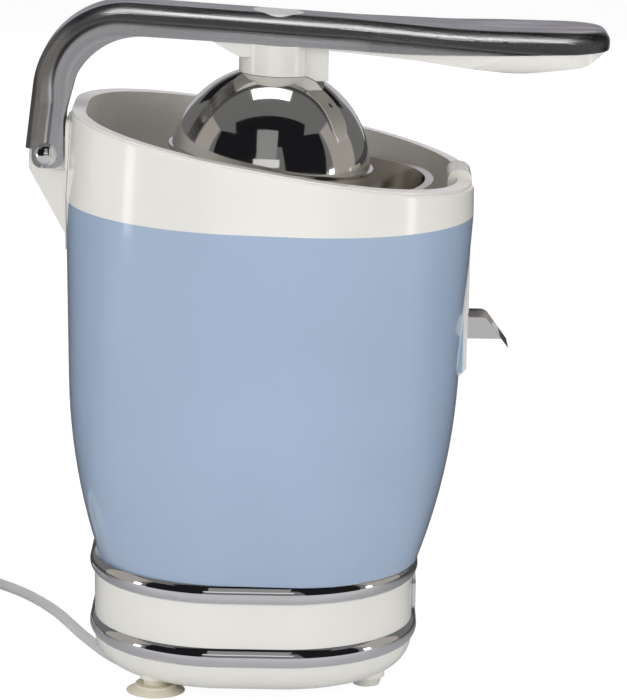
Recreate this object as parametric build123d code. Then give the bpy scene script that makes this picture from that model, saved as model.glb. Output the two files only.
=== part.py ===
from build123d import *
import math
import os

# Electric lever citrus press. Millimetres, +Z up, front (spout and handle) towards +X.
# Everything is drawn about the base's own axis and moved once, at the end, so that the
# origin lies on the table under the middle of the press.

# Clearances and cuts
seat_gap = 0.15         # between fixed pieces that fit into each other
run_gap = 0.05          # shaft in its bush
move_gap = 0.6          # between pieces that move past each other
overrun = 4.0           # how far a cut runs past what it cuts
half_space = 700.0      # side of the block that trims a piece at a plane

# Base
base_wall_r = 79.6
base_wall = 3.0
base_top_z = 60.0
base_shoulder_z = 19.5
base_tuck = 17.6        # how far the bottom edge stands in from the wall
base_edge_r = base_wall_r - base_tuck
base_edge_z = 5.0
base_flange = 3.0
base_flange_r = base_wall_r - base_tuck
base_edge_width = 2.0
plate_r = base_edge_r - base_edge_width
plate_recess = 4.0      # room under the plate for the cord
plate_thick = 3.0
ledge_width = 6.0
ledge_r = plate_r - ledge_width
ledge_thick = 3.0
base_screw_count = 4
base_screw_circle_r = plate_r - ledge_width / 2

# Trim rings and badge
ring_stand = 2.4        # how far the rings stand out from the base's wall
ring_r = base_wall_r + ring_stand
ring_height = 9.6
lower_ring_z = 24.2
upper_ring_z = 56.1
badge_width = 40.0
badge_height = 15.0
badge_thick = 1.6
badge_z = 40.0
badge_corner_r = 2.0

# Feet
rear_foot_inset = 6.5   # of the rear feet from the base's wall
rear_foot_angle = 130.0
rear_boss_r = 7.6
rear_boss_z = 6.5
cup_r = 14.5
cup_height = 2.4
cup_ledge_r = 10.0
cup_ledge_height = 1.2
cup_stem_r = 5.9
front_foot_inset = 10.25
front_foot_angle = 34.7
front_boss_r = 9.0
front_boss_z = 4.4
front_foot_r = 6.5
front_foot_top_r = 8.0
foot_plug_r = 3.5
foot_plug_length = 7.0

# Small screws
screw_shank_r = 1.5
screw_head_r = 3.0
screw_head_height = 1.8
screw_length = 9.0

# Body shell: leans forward on its base
body_lean = 1.35
lean_pivot_z = 5.0
body_overhang = 0.2     # of the body's foot over the base's wall
body_low_r = base_wall_r + body_overhang
body_top_r = 100.0
flat_half = 14.0        # half the flat part of each side, in the plan of the body and the base
body_top_z = 237.3
body_taper = 3.8        # from the top down to the middle
body_mid_r = body_top_r - body_taper
body_mid_z = 147.0
body_wall = 2.5
body_flange = 3.0
body_flange_width = 15.6
body_flange_r = body_low_r - body_flange_width
pad_stand = 1.4
pad_x = body_top_r + pad_stand
pad_half = 24.0
pad_low_z = 156.0
pad_slope = 9.0

# Collar and the two slanted planes on its top
collar_wall = 3.6
collar_draft = 1.8
collar_top_r = body_top_r - collar_draft
collar_draft_z = 290.0
collar_skirt = 9.0
collar_skirt_thick = 2.0
collar_lip_r = 1.2
hollow_y = 25.0         # of the long hollows beside the hinge
hollow_z = 265.0
hollow_length = 25.0
hollow_width = 8.0
hollow_depth = 1.0
collar_mid_z = 265.7
collar_slope = 9.64
rim_mid_z = 266.6
rim_slope = 9.64
axis_x = 6.0            # upright axis of the bowl, the cone and the drive

# Front frame round the outlet
frame_stand = 2.1
frame_x = pad_x + frame_stand
frame_half = 22.0
frame_post = 7.6
frame_low_z = 152.0
frame_sill_z = 169.1
frame_slope = 5.0
frame_reach = 11.0      # of the frame into the body
frame_back_x = body_top_r - frame_reach

# Juice collector
bowl_wall = 2.2
bowl_rim_inset = 0.7
bowl_rim_r = collar_top_r - bowl_rim_inset
bowl_rim_width = 6.5
bowl_r = bowl_rim_r - bowl_rim_width
bowl_ledge_z = 222.0
bowl_ledge_width = 25.0
bowl_low_r = bowl_r - bowl_ledge_width
bowl_floor_z = 178.0
chimney_r = 11.0
chimney_bore_r = 8.5
chimney_top_z = 236.0
duct_half = 13.8
duct_wall = 1.8
duct_setback = 0.7
duct_x = frame_x - duct_setback
duct_low_z = 169.7
duct_top_z = 185.4
duct_overlap = 2.0
duct_back_x = axis_x + bowl_low_r - duct_overlap
tongue_stand = 0.8
tongue_x = frame_x + tongue_stand
tongue_thick = 3.0
hump_length = 12.0
hump_top_z = 255.0
hump_corner_r = 5.0

# Spout
spout_half = 11.4
spout_wall = 1.2
spout_gap = 0.5
spout_root_x = duct_x + spout_gap
spout_low_z = 170.2
spout_top_z = 180.7
spout_top_length = 10.0
spout_top_x = spout_root_x + spout_top_length
spout_length = 21.2
spout_tip_x = spout_root_x + spout_length
spout_tip_z = 165.5
spout_bend_length = 17.5
spout_bend_x = spout_root_x + spout_bend_length
spout_corner_r = 4.5
spout_pin_setback = 3.3
spout_pin_x = spout_root_x - spout_pin_setback
spout_pin_z = 177.6
spout_pin_r = 1.5
spout_ear_r = 4.2

# Strainer and reaming cone
sieve_thick = 0.8
sieve_edge_gap = 11.3
sieve_rim_r = bowl_r - sieve_edge_gap
sieve_rim_width = 3.3
sieve_wall_top_r = sieve_rim_r - sieve_rim_width
sieve_wall_flare = 5.4
sieve_floor_r = sieve_wall_top_r - sieve_wall_flare
sieve_rim_z = 248.5
sieve_hole_r = 12.0
slot_count = 24
slot_inner_r = 30.0
slot_margin = 9.0
slot_outer_r = sieve_floor_r - slot_margin
slot_width = 1.8
cone_r = 34.0
cone_base_z = 250.0
cone_height = 42.0
cone_top_z = cone_base_z + cone_height
cone_tip_r = 3.0
cone_mid_r = 25.0
cone_mid_share = 23 / 42     # of the cone's height, to the middle of its flank
cone_mid_z = cone_base_z + cone_mid_share * cone_height
cone_core_drop = 3.0
cone_rib_count = 10
cone_rib_width = 3.6

# Drive
spindle_r = 5.0
spindle_flat = 3.9
spindle_low_z = 131.4
spindle_foot_r = 7.6
spindle_top_z = 266.0
press_travel = 2.0
gear_plate_z = 118.0
gear_plate_thick = 3.0
gear_cover_height = 29.0
gear_cover_wall = 2.5
gear_room_r = 60.0
gear_room_x = -14.0
drive_module = 1.5
drive_pinion_teeth = 12
output_teeth = 48
motor_module = 1.0
motor_pinion_teeth = 12
intermediate_teeth = 60
gear_width = 8.0
gear_level_gap = 2.0
gear_axial_gap = 0.3
tooth_share = 0.40      # of the pitch that a tooth takes at the pitch circle
tip_share = 0.22        # of the pitch that a tooth takes at its tip
root_share = 0.62       # of the pitch that a tooth takes at its root
addendum_share = 0.85   # of the module
dedendum_share = 1.25   # of the module
output_hub_r = 10.0
output_hub_top_z = 156.0
gear_bush_r = 12.0
gear_bush_bore_r = 8.2
bush_wall = 3.0
axle_r = 3.0
motor_angle = 50.0      # of the motor's shaft about the intermediate axle

# Bulkhead and seal
deck_z = 156.0
deck_thick = 3.0
deck_edge_gap = 0.4
deck_tube_r = 20.0
seal_r = 13.0
seal_height = 6.0

# Microswitch and return spring
switch_length = 11.0
switch_width = 6.0
switch_height = 7.0
plunger_r = 2.0
plunger_sink = 2.6
spring_wire_r = 0.5
spring_r = 7.0
spring_turns = 4

# Motor and chassis
chassis_r = 75.0
chassis_thick = 3.0
post_r = 4.0
post_circle_r = 54.0
post_count = 4
stator_side = 54.0
stator_low_z = 76.0
stator_height = 30.0
stator_bore_r = 17.0
rotor_r = 16.4
rotor_inset = 1.0
winding_r = 21.5
winding_height = 3.0
bracket_thick = 2.5
bracket_width = 16.0
bracket_foot = 5.0
bracket_gap = 3.5
bearing_r = 6.0
bearing_length = 5.0
fan_r = 22.0
fan_hub_r = 6.5
fan_height = 3.6
fan_blade_thick = 1.2
fan_blade_count = 8
fan_blade_tilt = 35.0

# Hinge bracket and pivot
bracket_inset = 5.3      # of the bracket's flange into the body's top radius
bracket_flange_x = bracket_inset - body_top_r
pivot_stand = 10.0
pivot_x = bracket_flange_x - pivot_stand
pivot_z = 259.0
bracket_flange_half = 20.0
bracket_flange_low_z = 212.0
bracket_flange_rise = 17.5    # of the flange over the pivot
bracket_flange_top_z = pivot_z + bracket_flange_rise
bracket_flange_corner_r = 8.0
cheek_drop = 6.5          # of the lever's cheeks below the pivot
cheek_rear = 6.8
cheek_front = 8.6
cheek_corner_r = 5.0
knuckle_r = 8.6
bracket_back_x = pivot_x - knuckle_r
bracket_web_top_z = 251.5
bracket_web_low_z = 217.4
lever_half = 14.0
fork_half = 9.2
pin_r = 2.5
bush_r = 4.2
pin_head_r = 5.8
pin_head_height = 3.0
pin_thread_r = 1.4
pin_thread_length = 6.0

# Lever arm, as seen from the side
lever_cheek_front_x = pivot_x + cheek_front
lever_web_z = 270.0
lever_join_z = 262.0
lever_rear_reach = 10.2    # of the lever behind its pivot
lever_rear_x = pivot_x - lever_rear_reach
lever_corner_set = -1.5
lever_corner_x = pivot_x + lever_corner_set
lever_corner_z = 336.5
lever_corner_r = 46.0
lever_break_x = 95.0
lever_break_z = 325.2
lever_break_r = 400.0
lever_tip_x = 170.0
lever_tip_top_z = 324.4
lever_tip_low_z = 315.0
lever_tip_top_r = 6.0
lever_tip_low_r = 2.0
lever_under_x = 67.0
lever_under_z = 312.0
lever_inner_set = 20.0
lever_inner_x = pivot_x + lever_inner_set
lever_inner_z = 319.4
lever_inner_r = 35.0
lever_neck_gap = 0.5       # from the flange's top to the foot of the lever's inner bend
lever_neck_z = bracket_flange_top_z + lever_neck_gap
lever_neck_r = 20.0
lever_edge_r = 5.0
# Lever arm, as seen from above
paddle_half = 26.5
paddle_start_x = 45.0
paddle_full_x = 112.0
paddle_nose_r = 22.0
paddle_bend_r = 90.0

# Liner under the lever
liner_start_x = -24.0
liner_inset = 0.8
liner_thick = 2.4
liner_bulge_x = 125.0
liner_bulge_z = 303.6
liner_chin_x = 157.0
liner_chin_z = 308.0
liner_nose_x = 168.0
liner_waist_x = 74.0
liner_bulge_r = 60.0
liner_chin_r = 14.0
liner_round_r = 9.0      # of the belly's long lower edges
liner_waist_r = 80.0
liner_screw_x = 60.0
liner_screw_pitch = 80.0
liner_screw_length = 8.0

# Dome, its carrier and the release button
dome_r = 49.6
dome_thick = 0.9
dome_rim_x = 5.2
dome_rim_z = 257.3
dome_cant = 7.0
dome_height = 45.7
dome_lip = 1.4
dome_lip_height = 1.6
boss_x = 6.6
boss_r = 17.5
boss_low_z = 298.0
tab_x = 24.0
tab_length = 9.0
tab_half = 9.0
tab_low_z = 297.0
ramp_x = -24.0
ramp_low_z = 309.0
dome_screw_r = 2.5
dome_screw_head_r = 6.0
dome_screw_length = 8.0
button_x = 8.0
button_r = 12.4
button_height = 6.0
button_spring_height = 5.0
button_spring_r = 4.6
button_spring_turns = 2

# Cord, its gland, coil and plug
cord_r = 2.7
cord_route = [
    (-44.0, -34.5, 3.4), (-56.0, -29.5, 2.8), (-66.5, -20.0, 2.8), (-74.5, -7.0, 2.8), (-82.0, 9.0, 2.8),
    (-90.0, 27.0, 2.8), (-97.0, 45.0, 2.8), (-104.5, 63.0, 2.8), (-114.7, 82.0, 2.8), (-127.0, 100.0, 2.8),
    (-139.0, 111.6, 3.2), (-148.5, 120.4, 4.1),
]
cord_notch_count = 3    # runs of the cord under the base and its edge
cord_notch_gap = 0.8
gland_length = 20.0
gland_block_length = 9.0
gland_block_width = 10.0
gland_root_r = 4.2
gland_tip_r = 3.2
cord_share = 0.45       # of the shorter run that an arc of the cord takes
coil_heading = 137.0    # the way the cord runs into the coil
coil_r = 38.0
coil_pitch = 6.2
coil_layer = 6.0
coil_half_turn_count = 4    # in each of the two layers
coil_sample_count = 60      # points on each half turn where the coil's gap is measured
coil_least_gap = 0.4
tie_gap = 0.6
tie_thick = 0.8
tie_width = 6.0
plug_lead = 10.0
plug_relief = 22.0
plug_relief_r = 4.2
plug_length = 32.0
plug_width = 36.0
plug_corner_r = 8.0
plug_pin_r = 2.4
plug_pin_length = 19.0
plug_pin_pitch = 19.0

# Worked out from the sizes above
centre_x = (lever_tip_x + lever_rear_x) / 2
deck_x = (deck_z - lean_pivot_z) * math.tan(math.radians(body_lean))
drive_centre = drive_module * (output_teeth + drive_pinion_teeth) / 2
motor_centre = motor_module * (intermediate_teeth + motor_pinion_teeth) / 2
inter_x = axis_x - drive_centre
motor_x = inter_x + motor_centre * math.cos(math.radians(motor_angle))
motor_y = -motor_centre * math.sin(math.radians(motor_angle))
gear_top_z = gear_plate_z + gear_plate_thick
low_gear_z = gear_top_z + gear_level_gap
high_gear_z = low_gear_z + gear_width + gear_level_gap
cover_top_z = gear_top_z + gear_cover_height
chassis_z = base_top_z + body_flange
chassis_top_z = chassis_z + chassis_thick
stator_top_z = stator_low_z + stator_height
plunger_top_z = spindle_low_z - gear_axial_gap
button_well_depth = button_height + button_spring_height
rear_foot_x = (base_wall_r - rear_foot_inset) * math.cos(math.radians(rear_foot_angle))
rear_foot_y = (base_wall_r - rear_foot_inset) * math.sin(math.radians(rear_foot_angle))
front_foot_x = (base_wall_r - front_foot_inset) * math.cos(math.radians(front_foot_angle))
front_foot_y = (base_wall_r - front_foot_inset) * math.sin(math.radians(front_foot_angle))
plate_z = base_edge_z + plate_recess
plate_top_z = plate_z + plate_thick
ledge_top_z = plate_top_z + ledge_thick
lean = Pos(0, 0, lean_pivot_z) * Rot(0, body_lean, 0) * Pos(0, 0, -lean_pivot_z)
upward = (Align.CENTER, Align.CENTER, Align.MIN)


def slanted_plane(mid_z, slope):
    """Plane through the bowl's axis that falls towards the front."""
    angle = math.radians(slope)
    return Plane(origin=(axis_x, 0, mid_z), x_dir=(math.cos(angle), 0, -math.sin(angle)),
                 z_dir=(math.sin(angle), 0, math.cos(angle)))


collar_plane = slanted_plane(collar_mid_z, collar_slope)
rim_plane = slanted_plane(rim_mid_z, rim_slope)


def above(plane):
    """Block that fills everything over a plane."""
    return plane * Box(half_space, half_space, half_space, align=upward)


def rod(radius, low, high, x=0.0, y=0.0):
    """Upright round bar."""
    return Pos(x, y, low) * Cylinder(radius, high - low, align=upward)


def tube(radius, bore, low, high, x=0.0, y=0.0):
    """Upright tube."""
    return rod(radius, low, high, x, y) - rod(bore, low - overrun, high + overrun, x, y)


def cross_rod(radius, half, x, z):
    """Round bar along Y, centred on the middle plane."""
    return Pos(x, 0, z) * Rot(90, 0, 0) * Cylinder(radius, 2 * half)


def block(x0, x1, half, z0, z1):
    """Block between two places along X, centred on the middle plane."""
    return Pos((x0 + x1) / 2, 0, z0) * Box(x1 - x0, 2 * half, z1 - z0, align=upward)


def side_shape(points, half):
    """Outline drawn from the side, as thick as twice half."""
    return extrude(Plane.XZ * make_face(Polyline(*points, close=True)), half, both=True)


def turned(*edges):
    """Solid turned about Z from an outline of radius and height."""
    return revolve(Plane.XZ * make_face(edges), Axis.Z)


def turned_points(*points):
    """Solid turned about Z from a straight-sided outline."""
    return turned(Polyline(*points, close=True))


def squared(*edges):
    """Solid with a rounded-square plan, from an outline of half width and height."""
    face = Plane.XZ * make_face(edges)
    beyond = Plane.XZ * Pos(flat_half + half_space / 2, 0) * Rectangle(half_space, 2 * half_space)
    corner = revolve(Pos(-flat_half, 0, 0) * (face & beyond), Axis.Z, revolution_arc=90)
    quarter = extrude(face, flat_half, both=True) + Pos(flat_half, flat_half, 0) * corner
    half = quarter + Rot(0, 0, 90) * quarter
    return half + Rot(0, 0, 180) * half


def squared_bar(half_width, low, high):
    """Upright bar with a rounded-square plan."""
    return squared(Polyline((0, low), (half_width, low), (half_width, high), (0, high), close=True))


def polar(count, radius, x=0.0, y=0.0, turn=0.0):
    """Places evenly spaced on a circle."""
    steps = [math.radians(turn + 360 * i / count) for i in range(count)]
    return [(x + radius * math.cos(a), y + radius * math.sin(a)) for a in steps]


def screw(length=screw_length, shank=screw_shank_r, head=screw_head_r, height=screw_head_height):
    """Pan-head screw that points up, with the seat of its head at zero."""
    top = Pos(0, 0, -height) * Cylinder(head, height, align=upward)
    rim = top.edges().group_by(Axis.Z)[0]
    return fillet(rim, height / 2) + Cylinder(shank, length, align=upward)


def gear(teeth, module, low, high, turn, x, y):
    """Spur gear with flat-sided teeth. A tooth points along +X before the turn."""
    pitch_r = module * teeth / 2
    tip_r = pitch_r + addendum_share * module
    root_r = pitch_r - dedendum_share * module
    step = 360 / teeth
    corners = [(root_r, -root_share), (pitch_r, -tooth_share), (tip_r, -tip_share),
               (tip_r, tip_share), (pitch_r, tooth_share), (root_r, root_share)]
    points = []
    for tooth in range(teeth):
        for radius, share in corners:
            angle = math.radians(step * (tooth + share / 2))
            points.append((radius * math.cos(angle), radius * math.sin(angle)))
    face = make_face(Polyline(*points, close=True))
    return Pos(x, y, low) * Rot(0, 0, turn) * extrude(face, high - low)


def spring(radius, wire, turns, low, high, x, y):
    """Round-wire compression spring."""
    rise = high - low - 2 * wire
    path = Pos(x, y, low + wire) * Helix(rise / turns, rise, radius)
    return sweep(Plane(path @ 0, z_dir=path % 0) * Circle(wire), path, is_frenet=True)


def body_solid(offset):
    """The body's outer form, grown or shrunk by an offset, leaning forward."""
    top = (body_top_r + offset, body_top_z)
    middle = (body_mid_r + offset, body_mid_z)
    low = (body_low_r + offset, base_top_z)
    wall = Line(top, middle)
    curve = TangentArc(middle, low, tangent=wall % 1)
    foot_z = base_top_z - overrun
    foot = Polyline(low, (low[0], foot_z), (0, foot_z), (0, body_top_z), top)
    return lean * squared(wall, curve, foot)


def collar_solid(offset):
    """The collar's outer form, before its top is slanted."""
    return lean * squared(Polyline((0, body_top_z), (body_top_r + offset, body_top_z),
                                   (collar_top_r + offset, collar_draft_z), (0, collar_draft_z), close=True))


def table_cut():
    """Block under the body shell's flat bottom edge."""
    return Pos(0, 0, base_top_z) * Rot(180, 0, 0) * Box(half_space, half_space, half_space, align=upward)


def front_slot(gap):
    """Opening for the front frame in the collar and the body shell."""
    back_x = frame_back_x - overrun
    return block(back_x, tongue_x + half_space, frame_half + gap, frame_low_z - gap, half_space)


def base_places():
    """Places of the screws that hold the base plate."""
    return polar(base_screw_count, base_screw_circle_r)


def chassis_places():
    """Places of the screws through the chassis, the body shell and the base."""
    return polar(base_screw_count, (body_flange_r + chassis_r) / 2, turn=180 / base_screw_count)


def post_places():
    """Places of the posts between the chassis and the gear plate."""
    return polar(post_count, post_circle_r, x=gear_room_x, turn=180 / post_count)


def mirrored_places(x, y):
    """The same place on both sides of the middle plane."""
    return [(x, y), (x, -y)]


def make_base_housing():
    edge = (base_edge_r, base_edge_z)
    shoulder = (base_wall_r, base_shoulder_z)
    curve = TangentArc(shoulder, edge, tangent=(0, -1))
    rest = Polyline(edge, (0, base_edge_z), (0, base_top_z), (base_wall_r, base_top_z), shoulder)
    part = squared(curve, rest)
    for x, y in mirrored_places(rear_foot_x, rear_foot_y):
        part += rod(rear_boss_r, rear_boss_z, base_shoulder_z, x, y) & squared_bar(base_wall_r, 0, base_top_z)
    for x, y in mirrored_places(front_foot_x, front_foot_y):
        part += rod(front_boss_r, front_boss_z, base_shoulder_z, x, y)
    inner_r = base_wall_r - base_wall
    flange_z = base_top_z - base_flange
    boss_top = base_shoulder_z + overrun
    part -= squared_bar(inner_r, boss_top, flange_z)
    part -= rod(plate_r, base_edge_z - overrun, plate_top_z)
    part -= rod(ledge_r, plate_top_z - overrun, base_shoulder_z + overrun)
    part -= rod(base_flange_r, flange_z - overrun, base_top_z + overrun)
    for x, y in base_places():
        part -= rod(screw_shank_r + seat_gap, plate_top_z - overrun, ledge_top_z + overrun, x, y)
    for x, y in chassis_places():
        part -= rod(screw_shank_r + seat_gap, flange_z - overrun, base_top_z + overrun, x, y)
    for x, y in mirrored_places(rear_foot_x, rear_foot_y):
        part -= rod(cup_stem_r + move_gap, 0, rear_boss_z, x, y)
        socket_top = rear_boss_z + foot_plug_length + seat_gap
        part -= rod(foot_plug_r + seat_gap, rear_boss_z - overrun, socket_top, x, y)
    for x, y in mirrored_places(front_foot_x, front_foot_y):
        socket_top = front_boss_z + foot_plug_length + seat_gap
        part -= rod(foot_plug_r + seat_gap, front_boss_z - overrun, socket_top, x, y)
    return part - cord_notch()


def make_base_plate():
    part = rod(plate_r - seat_gap, plate_z, plate_top_z)
    for x, y in base_places():
        part -= rod(screw_shank_r + seat_gap, plate_z - overrun, plate_top_z + overrun, x, y)
    return part - gland_block(seat_gap, overrun)


def make_base_screws():
    return [Pos(x, y, plate_z) * screw(plate_thick + ledge_thick) for x, y in base_places()]


def make_suction_feet():
    ledge_z = cup_height + cup_ledge_height
    feet = []
    for x, y in mirrored_places(rear_foot_x, rear_foot_y):
        cup = Pos(x, y, 0) * Cone(cup_r, cup_ledge_r, cup_height, align=upward)
        ledge = rod(cup_ledge_r, cup_height, ledge_z, x, y)
        stem = rod(cup_stem_r, ledge_z, rear_boss_z, x, y)
        plug = rod(foot_plug_r, rear_boss_z, rear_boss_z + foot_plug_length, x, y)
        feet.append(cup + ledge + stem + plug)
    return feet


def make_front_feet():
    feet = []
    for x, y in mirrored_places(front_foot_x, front_foot_y):
        nub = Pos(x, y, 0) * Cone(front_foot_r, front_foot_top_r, front_boss_z, align=upward)
        feet.append(nub + rod(foot_plug_r, front_boss_z, front_boss_z + foot_plug_length, x, y))
    return feet


def make_trim_ring(mid_z):
    """Half-round chrome ring that lies on the base wall."""
    inner_r = base_wall_r + seat_gap
    low = (inner_r, mid_z - ring_height / 2)
    high = (inner_r, mid_z + ring_height / 2)
    return squared(ThreePointArc(low, (ring_r, mid_z), high), Line(high, low)) - body_solid(seat_gap)


def make_badge_plate():
    inner_r = base_wall_r + seat_gap
    outline = RectangleRounded(badge_width, badge_height, badge_corner_r)
    bar = extrude(Plane.YZ * Pos(0, badge_z) * outline, ring_r + overrun)
    bar &= squared_bar(inner_r + badge_thick, badge_z - badge_height, badge_z + badge_height)
    return bar - squared_bar(inner_r, 0, base_top_z)


def make_body_shell():
    inside = body_solid(-body_wall) - rod(half_space, base_top_z - overrun * 2, base_top_z + body_flange)
    pad_back = body_low_r
    pad = side_shape([(pad_back, pad_low_z - pad_slope), (pad_x, pad_low_z), (pad_x, collar_draft_z),
                      (pad_back, collar_draft_z)], pad_half)
    pad -= lean * Pos(0, 0, body_top_z) * Box(half_space, half_space, half_space, align=upward)
    part = (body_solid(0) + pad) - inside - table_cut()
    part -= rod(body_flange_r, base_top_z - overrun, base_top_z + body_flange + overrun)
    for x, y in chassis_places():
        part -= rod(screw_shank_r + seat_gap, base_top_z - overrun, chassis_z + overrun, x, y)
    return part - front_slot(seat_gap)


def make_collar():
    skirt_r = body_mid_r + (body_top_r - body_mid_r) * (body_top_z - collar_skirt - body_mid_z) / (
        body_top_z - body_mid_z) - body_wall - seat_gap
    shell = collar_solid(0) - collar_solid(-collar_wall)
    skirt_low = body_top_z - collar_skirt
    skirt = squared_bar(skirt_r, skirt_low, body_top_z + collar_wall)
    shell += lean * (skirt - squared_bar(skirt_r - collar_skirt_thick, 0, collar_draft_z))
    shell -= above(collar_plane)
    top = shell.faces().sort_by(Axis(collar_plane.origin, collar_plane.z_dir))[-1]
    shell = fillet(top.outer_wire().edges(), collar_lip_r)
    for y in (-bracket_flange_half / 2, bracket_flange_half / 2):
        shell -= bracket_screw_hole(y)
    for y in (-hollow_y, hollow_y):
        shell -= collar_hollow(y)
    return shell - front_slot(seat_gap)


def collar_hollow(y):
    """Shallow upright hollow with round ends in the collar's rear."""
    shift = (hollow_z - lean_pivot_z) * math.tan(math.radians(body_lean))
    outline = Plane.YZ * Pos(y, hollow_z) * Rot(0, 0, 90) * SlotOverall(hollow_length, hollow_width)
    bar = extrude(outline, -half_space)
    floor_r = (collar_top_r + body_top_r) / 2 - hollow_depth
    return bar - Pos(shift, 0, 0) * squared_bar(floor_r, 0, half_space)


def make_front_frame():
    part = side_shape([(frame_back_x, frame_low_z), (frame_x - frame_slope, frame_low_z),
                       (frame_x, frame_low_z + frame_slope), (frame_x, collar_draft_z),
                       (frame_back_x, collar_draft_z)], frame_half)
    gate_half = frame_half - frame_post
    part -= block(frame_back_x - overrun, frame_x + overrun, gate_half, frame_sill_z, half_space)
    bowl_room_r = bowl_r + bowl_wall + move_gap
    part -= Pos(axis_x, 0, 0) * squared_bar(bowl_room_r, bowl_ledge_z - bowl_wall - move_gap, half_space)
    return part - above(collar_plane)


def bracket_screw_hole(y):
    """Hole for a screw from inside the collar into the hinge bracket."""
    z = (body_top_z + collar_mid_z) / 2
    return Pos(bracket_flange_x, y, z) * Rot(0, 90, 0) * Cylinder(screw_shank_r + seat_gap, 4 * collar_wall)


def make_hinge_bracket():
    flange_mid_z = (bracket_flange_low_z + bracket_flange_top_z) / 2
    flange = Pos(bracket_flange_x, 0, flange_mid_z) * Rot(0, 90, 0) * extrude(
        RectangleRounded(bracket_flange_top_z - bracket_flange_low_z, 2 * bracket_flange_half,
                         bracket_flange_corner_r), -bracket_flange_x - bowl_r)
    flange -= body_solid(seat_gap) + collar_solid(seat_gap)
    half = fork_half - move_gap
    web = side_shape([(bracket_flange_x, bracket_web_low_z), (bracket_back_x, bracket_web_top_z),
                      (bracket_back_x, pivot_z), (bracket_flange_x, pivot_z)], half)
    neck = block(pivot_x, bracket_flange_x, half, pivot_z, pivot_z + knuckle_r)
    knuckle = cross_rod(knuckle_r, half, pivot_x, pivot_z)
    part = flange + web + neck + knuckle
    part -= cross_rod(bush_r + seat_gap, lever_half, pivot_x, pivot_z)
    for y in (-bracket_flange_half / 2, bracket_flange_half / 2):
        part -= bracket_screw_hole(y)
    return part


def make_bracket_screws():
    z = (body_top_z + collar_mid_z) / 2
    seat_x = axis_x - (collar_top_r + body_top_r) / 2 + collar_wall + seat_gap
    length = seat_x - bracket_flange_x
    places = (-bracket_flange_half / 2, bracket_flange_half / 2)
    return [Pos(seat_x, y, z) * Rot(0, -90, 0) * screw(length) for y in places]


def make_hinge_bushes():
    half = fork_half - move_gap
    sleeve = cross_rod(bush_r, half, pivot_x, pivot_z)
    sleeve -= cross_rod(pin_r + run_gap, lever_half, pivot_x, pivot_z)
    room = bush_r * 2
    gap = block(pivot_x - room, pivot_x + room, seat_gap, pivot_z - room, pivot_z + room)
    return (sleeve - gap).solids()


def lever_profile():
    """Side outline of the lever above its fork."""
    rear_low = (lever_rear_x, lever_join_z)
    inner_low = (lever_cheek_front_x, lever_join_z)
    corners = [rear_low, (lever_corner_x, lever_corner_z), (lever_break_x, lever_break_z),
               (lever_tip_x, lever_tip_top_z), (lever_tip_x, lever_tip_low_z), (lever_under_x, lever_under_z),
               (lever_inner_x, lever_inner_z), (lever_cheek_front_x, lever_neck_z), inner_low]
    radii = [lever_corner_r, lever_break_r, lever_tip_top_r, lever_tip_low_r, lever_break_r, lever_inner_r,
             lever_neck_r]
    return FilletPolyline(*corners, radius=radii) + [Line(inner_low, rear_low)]


def lever_plan(inset):
    """Outline of the lever from above: a slim arm that widens into a round-nosed paddle."""
    half = lever_half - inset
    wide = paddle_half - inset
    tip = lever_tip_x - inset
    rear = lever_rear_x - overrun
    corners = [(rear, half), (paddle_start_x, half), (paddle_full_x, wide), (tip, wide), (tip, -wide),
               (paddle_full_x, -wide), (paddle_start_x, -half), (rear, -half)]
    radii = [paddle_bend_r, paddle_bend_r, paddle_nose_r, paddle_nose_r, paddle_bend_r, paddle_bend_r]
    return make_face(FilletPolyline(*corners, radius=radii) + [Line(corners[-1], corners[0])])


def lever_blank():
    """Lever before its fork, pin holes and button well are cut."""
    bar = extrude(Plane.XZ * make_face(lever_profile()), paddle_half, both=True)
    plan = Pos(0, 0, pivot_z) * extrude(lever_plan(0), lever_corner_z)
    bar = bar & plan
    return fillet([edge for edge in bar.edges() if is_upper_edge(edge)], lever_edge_r)


def is_upper_edge(edge):
    """True for the edges that run along the lever's outer side, over the bend to the nose."""
    spot = edge @ 0.5
    run = edge @ 1 - edge @ 0
    lengthwise = abs(run.Y) < 2 * abs(run.X) + abs(run.Z)
    outer = spot.Z > lever_top(spot.X) - lever_edge_r or spot.X < pivot_x + lever_edge_r
    return lengthwise and outer and spot.Z > lever_web_z and abs(spot.Y) > lever_half / 2


def lever_slope():
    """Fall of the lever's top for each unit towards the front."""
    return (lever_corner_z - lever_break_z) / (lever_break_x - lever_corner_x)


def lever_top(x):
    """Height of the straight stretch of the lever's top."""
    return lever_corner_z - lever_slope() * (x - lever_corner_x)


def button_place():
    """Location of the button's axis on the top of the lever, square to it."""
    return Pos(button_x, 0, lever_top(button_x)) * Rot(0, math.degrees(math.atan(lever_slope())), 0)


def make_lever_arm():
    part = lever_blank()
    cheek_low = pivot_z - cheek_drop
    cheeks = block(pivot_x - cheek_rear, lever_cheek_front_x, lever_half, cheek_low, lever_join_z + overrun)
    cheeks = fillet(cheeks.edges().filter_by(Axis.Y).group_by(Axis.Z)[0], cheek_corner_r)
    part = part + cheeks
    part -= block(lever_rear_x - overrun, lever_cheek_front_x + overrun, fork_half,
                  cheek_low - overrun, lever_web_z)
    part -= cross_rod(pin_r + seat_gap, lever_half + overrun, pivot_x, pivot_z)
    place = button_place()
    well = Cylinder(button_r + run_gap * 2, button_well_depth + overrun, align=upward)
    part -= place * Pos(0, 0, -button_well_depth) * well
    for x in liner_screw_places():
        part -= rod(screw_shank_r + seat_gap, lever_under_z - overrun, lever_under_z + liner_screw_length, x)
    return part


def liner_screw_places():
    """Places along X of the screws that hold the liner."""
    return [liner_screw_x, liner_screw_x + liner_screw_pitch]


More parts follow.
